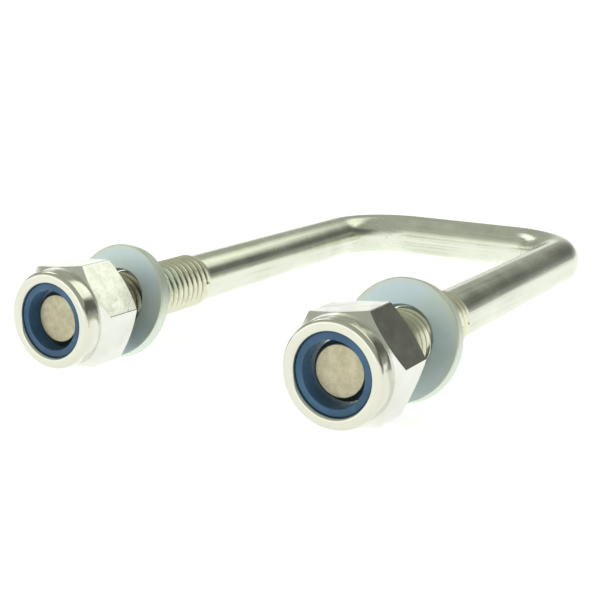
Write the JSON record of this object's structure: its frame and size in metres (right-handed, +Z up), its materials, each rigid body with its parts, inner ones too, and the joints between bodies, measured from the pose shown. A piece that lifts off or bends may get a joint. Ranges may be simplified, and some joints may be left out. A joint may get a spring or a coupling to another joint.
{
  "type": "u-bolt",
  "caption": "Square U-bolt bent from round bar, threaded at both ends, with nylon-ring lock nuts and loose flat washers.",
  "frame": {"origin": "midway between the centres of the two bolt ends", "axes": "+Y up the legs from the bolt ends to the crossbar, +X from the left leg to the right leg, +Z up, square to the plane that both legs lie in, as the bolt lies on a bench"},
  "size_m": [0.073, 0.1166, 0.0197],
  "materials": {
    "plated_bar": "zinc plated with a dull olive-grey passivation",
    "bright_nut": "bright zinc plated",
    "pale_washer": "zinc plated, pale blue passivation",
    "blue_nylon": "satin moulded nylon"
  },
  "bodies": {
    "u_bolt": {"u_bolt": "plated_bar"},
    "left_nylon_ring": {"left_nylon_ring": "blue_nylon"},
    "left_lock_nut": {"left_lock_nut": "bright_nut"},
    "left_washer": {"left_washer": "pale_washer"},
    "right_nylon_ring": {"right_nylon_ring": "blue_nylon"},
    "right_lock_nut": {"right_lock_nut": "bright_nut"},
    "right_washer": {"right_washer": "pale_washer"}
  },
  "joints": [
    {"name": "left_nut_travel", "type": "slide", "parent": "u_bolt", "child": "left_nylon_ring", "axis": [0, 1, 0], "range_m": [-0.0075, 0.0255]},
    {"name": "left_nut_turn", "type": "hinge", "parent": "left_nylon_ring", "child": "left_lock_nut", "pos_m": [-0.02652, 0, 0], "axis": [0, 1, 0], "range_deg": [-1801, 6121]},
    {"name": "left_washer_slide", "type": "slide", "parent": "left_nylon_ring", "child": "left_washer", "axis": [0, 1, 0], "range_m": [-0.0025, 0.0488]},
    {"name": "right_nut_travel", "type": "slide", "parent": "u_bolt", "child": "right_nylon_ring", "axis": [0, 1, 0], "range_m": [-0.0075, 0.0255]},
    {"name": "right_nut_turn", "type": "hinge", "parent": "right_nylon_ring", "child": "right_lock_nut", "pos_m": [0.02652, 0, 0], "axis": [0, 1, 0], "range_deg": [-1801, 6121]},
    {"name": "right_washer_slide", "type": "slide", "parent": "right_nylon_ring", "child": "right_washer", "axis": [0, 1, 0], "range_m": [-0.0072, 0.0444]}
  ],
  "couplings": [
    {"joint": "left_nut_turn", "follows": "left_nut_travel", "rad_per_m": 4188.8},
    {"joint": "right_nut_turn", "follows": "right_nut_travel", "rad_per_m": 4188.8}
  ]
}
